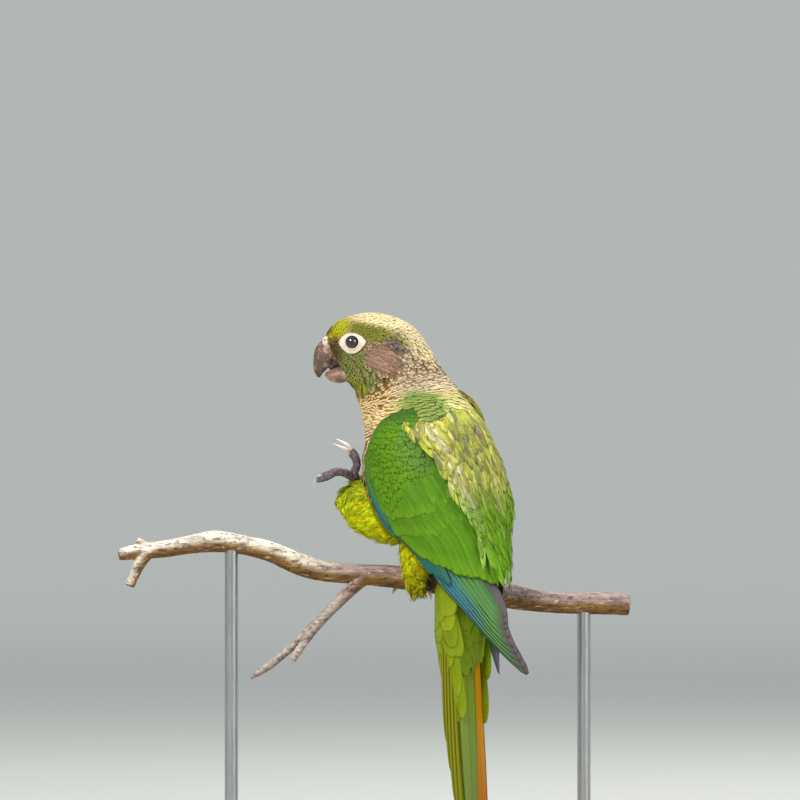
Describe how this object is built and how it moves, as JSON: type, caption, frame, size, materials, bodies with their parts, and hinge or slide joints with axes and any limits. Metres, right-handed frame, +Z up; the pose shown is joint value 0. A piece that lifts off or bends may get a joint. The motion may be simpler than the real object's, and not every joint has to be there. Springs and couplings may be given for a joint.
{
  "type": "maroon-bellied parakeet on a display stand",
  "caption": "Life-size still model of a green parakeet standing on one foot on a cut branch, the other foot raised, held by a plain display stand.",
  "frame": {"origin": "centre of the underside of the stand's base", "axes": "+Z up; -X the way the head looks and the long side of the base; -Y the side that the bird's back is turned to"},
  "size_m": [0.2312, 0.104, 0.2639],
  "materials": {
    "feathers_crown": "soft feathers, yellow-green to buff",
    "feathers_neck": "soft feathers, buff with dark scales",
    "feathers_body": "soft feathers, yellow-green",
    "feathers_wing": "smooth feathers, bright green",
    "feathers_flight": "smooth feathers, blue and green",
    "feathers_tail": "smooth feathers, olive with maroon",
    "bare_skin": "bare skin, cream white",
    "bill": "horn, brown grey, part polished",
    "eye": "wet, almost black",
    "foot_skin": "scaly skin, purple grey",
    "claw": "horn, cream to grey",
    "bark": "dry bark, grey mauve with ochre underneath",
    "stand_wood": "dark wood, satin",
    "stand_metal": "brushed"
  },
  "bodies": {
    "root": {"head": "feathers_crown", "neck": "feathers_neck", "torso": "feathers_body", "upper_bill": "bill", "lower_bill": "bill", "tongue": "foot_skin", "eye_left": "eye", "eye_right": "eye", "wing_left_shoulder": "feathers_wing", "wing_left_secondaries": "feathers_wing", "wing_left_primaries": "feathers_flight", "wing_right_shoulder": "feathers_wing", "wing_right_secondaries": "feathers_wing", "wing_right_primaries": "feathers_flight", "tail": "feathers_tail", "tail_coverts_upper": "feathers_body", "tail_coverts_under": "feathers_body", "thigh_left": "feathers_body", "thigh_right": "feathers_body", "leg_left": "foot_skin", "leg_right": "foot_skin", "foot_left": "foot_skin", "foot_right": "foot_skin", "claw_left_1": "claw", "claw_left_2": "claw", "claw_left_3": "claw", "claw_left_4": "claw", "claw_right_1": "claw", "claw_right_2": "claw", "claw_right_3": "claw", "claw_right_4": "claw", "perch": "bark", "perch_twig": "bark", "stand_base": "stand_wood", "stand_rod_left": "stand_metal", "stand_rod_right": "stand_metal"}
  },
  "joints": []
}
